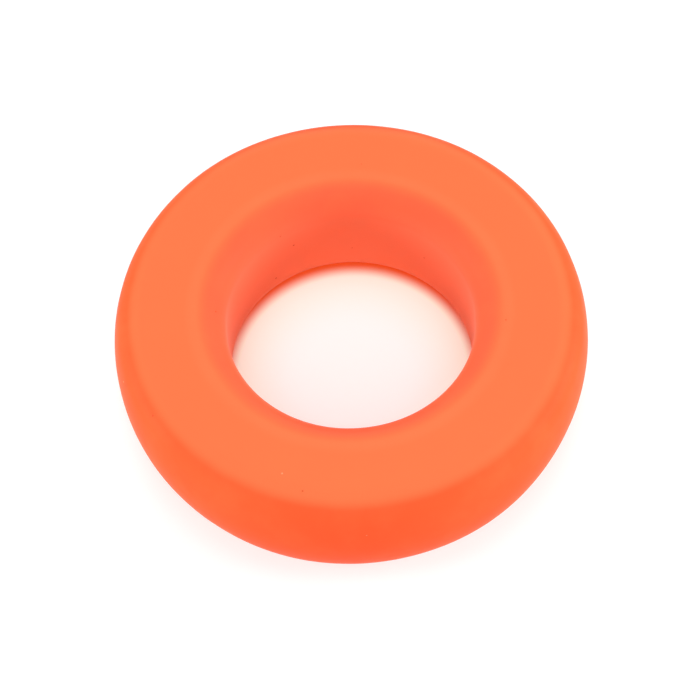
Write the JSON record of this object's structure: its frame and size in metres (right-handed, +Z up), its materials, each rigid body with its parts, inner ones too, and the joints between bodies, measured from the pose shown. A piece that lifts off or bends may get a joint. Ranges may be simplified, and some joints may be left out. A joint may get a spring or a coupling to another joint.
{
  "type": "flying ring",
  "caption": "Soft round flying ring with a thick, round-edged section, a flat top, a bowed outer side and a wide centre hole: elastomer skin over a foam core.",
  "frame": {"origin": "centre of the underside, where the ring's axis meets the surface that it lies on", "axes": "+Z up along the ring's axis, from the underside with its larger rounding to the flat top face; X and Y lie in the underside and are alike"},
  "size_m": [0.16, 0.16, 0.0475],
  "materials": {
    "foam": "matte",
    "skin": "matte"
  },
  "bodies": {
    "root": {"foam_core": "foam", "outer_skin": "skin"}
  },
  "joints": []
}
